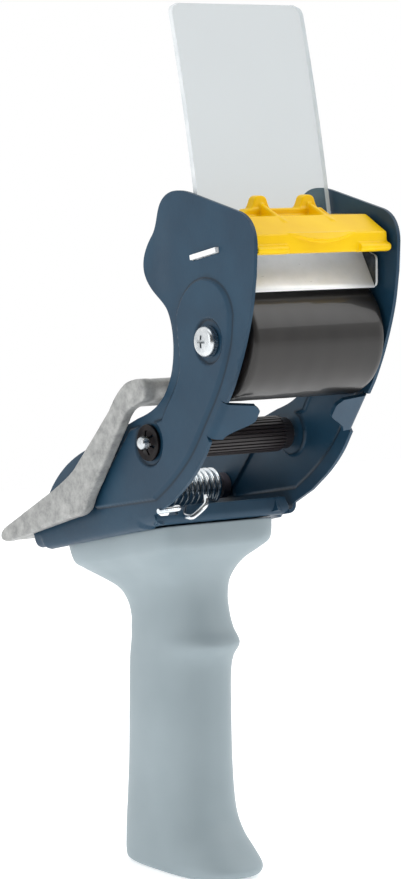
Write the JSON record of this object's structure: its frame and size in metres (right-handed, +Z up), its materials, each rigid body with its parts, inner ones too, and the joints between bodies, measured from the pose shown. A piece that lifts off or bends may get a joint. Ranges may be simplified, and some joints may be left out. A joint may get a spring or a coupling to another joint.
{
  "type": "tape gun dispenser",
  "caption": "Hand-held packing tape dispenser with pistol grip, rubber front roller, fluted pinch roller, sprung roll arm, cutter with guard and clear flap.",
  "frame": {"origin": "on the flat foot of the grip, in the middle of its width and below the middle of its depth", "axes": "+Z up along the upright grip, +X across the tape, the front with the rubber roller towards -Y"},
  "size_m": [0.0658, 0.1315, 0.2754],
  "materials": {
    "frame_paint": "slate-blue powder coat, satin with a fine texture",
    "grip_plastic": "moulded pale blue-grey plastic, soft matte",
    "roller_rubber": "smooth dark brown-black rubber with a soft gloss",
    "black_plastic": "moulded black plastic",
    "zinc_steel": "bright zinc-plated steel",
    "black_steel": "blackened spring steel, slightly oily",
    "cast_metal": "tumbled die-cast metal, mottled and slightly rough",
    "bright_chrome": "bright nickel-plated sheet",
    "blade_steel": "ground spring steel",
    "yellow_plastic": "glossy moulded yellow plastic",
    "clear_sheet": "flexible clear plastic sheet with a slight haze"
  },
  "bodies": {
    "frame": {"left_side_plate": "frame_paint", "right_side_plate": "frame_paint", "base_web": "frame_paint", "handle": "grip_plastic", "handle_screw_front": "zinc_steel", "handle_screw_rear": "zinc_steel", "roller_axle": "zinc_steel", "roller_screw_left": "zinc_steel", "roller_screw_right": "zinc_steel", "pinch_pin": "zinc_steel", "push_nut_left": "black_steel", "push_nut_right": "black_steel", "arm_spring": "zinc_steel", "cutter_bracket": "bright_chrome", "cutter_blade": "blade_steel", "blade_rivet_left": "zinc_steel", "blade_rivet_right": "zinc_steel", "guard_pin": "zinc_steel", "guard_spring": "zinc_steel"},
    "front_roller": {"roller_sleeve": "roller_rubber", "roller_core": "black_plastic"},
    "pinch_roller": {"pinch_roller": "black_plastic"},
    "roll_arm": {"roll_arm": "cast_metal", "arm_shaft": "zinc_steel", "shaft_bush": "black_plastic", "shaft_push_nut": "black_steel"},
    "blade_guard": {"blade_guard": "yellow_plastic", "flap_clamp": "yellow_plastic"},
    "flap": {"flap": "clear_sheet"}
  },
  "joints": [
    {"name": "front_roller_spin", "type": "hinge", "parent": "frame", "child": "front_roller", "pos_m": [0, -0.0461, 0.1734], "axis": [1, 0, 0], "continuous": true},
    {"name": "pinch_roller_spin", "type": "hinge", "parent": "frame", "child": "pinch_roller", "pos_m": [0, -0.015, 0.1402], "axis": [1, 0, 0], "continuous": true},
    {"name": "roll_arm_swing", "type": "hinge", "parent": "frame", "child": "roll_arm", "pos_m": [0, 0.02, 0.12], "axis": [1, 0, 0], "range_deg": [-45, 0], "stiffness_Nm_per_rad": 0.25, "springref_deg": 17.19, "deforming": ["arm_spring"]},
    {"name": "blade_guard_lift", "type": "hinge", "parent": "frame", "child": "blade_guard", "pos_m": [0, -0.044, 0.2052], "axis": [1, 0, 0], "range_deg": [-18, 0], "stiffness_Nm_per_rad": 0.05, "springref_deg": 22.92, "deforming": ["guard_spring"]},
    {"name": "flap_bend", "type": "hinge", "parent": "blade_guard", "child": "flap", "pos_m": [0, -0.0366, 0.2101], "axis": [1, 0, 0], "range_deg": [-10, 20], "stiffness_Nm_per_rad": 0.02}
  ]
}
